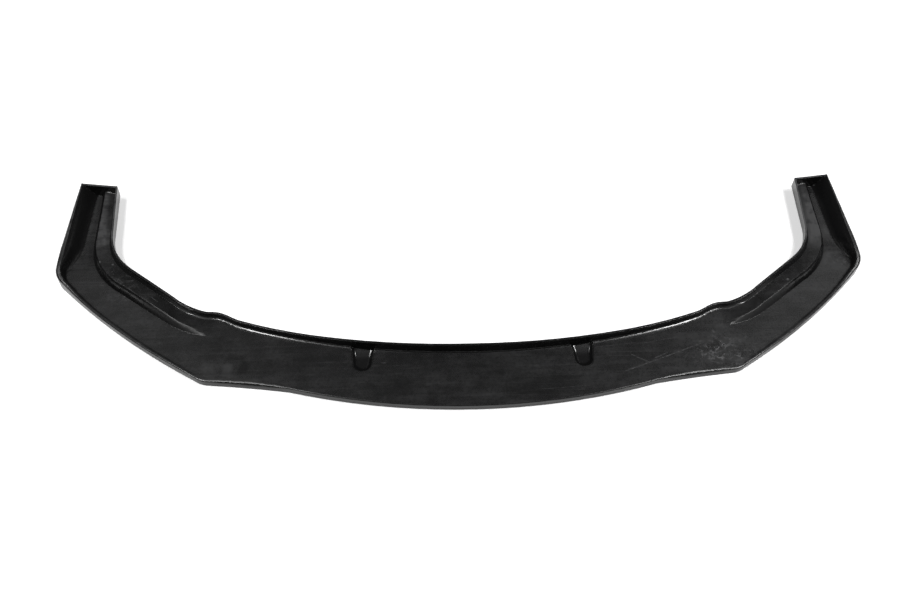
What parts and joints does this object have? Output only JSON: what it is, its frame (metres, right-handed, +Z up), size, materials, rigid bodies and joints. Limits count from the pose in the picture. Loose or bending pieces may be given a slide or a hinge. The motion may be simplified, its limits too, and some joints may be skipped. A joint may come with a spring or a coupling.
{
  "type": "front splitter lip",
  "caption": "Moulded black front splitter lip: a flat curved blade with an upright inner flange, raised side pads, walled rear arms and sunk fixing pockets.",
  "frame": {"origin": "centre of the bounding box's underside, on the part's middle plane", "axes": "+X across the car, -Y towards the front of the car, +Z up; the blade lies level"},
  "size_m": [1.822, 0.644, 0.0424],
  "materials": {
    "black_plastic": "satin black moulding, lightly scuffed and scratched"
  },
  "bodies": {
    "root": {"splitter_lip": "black_plastic"}
  },
  "joints": []
}
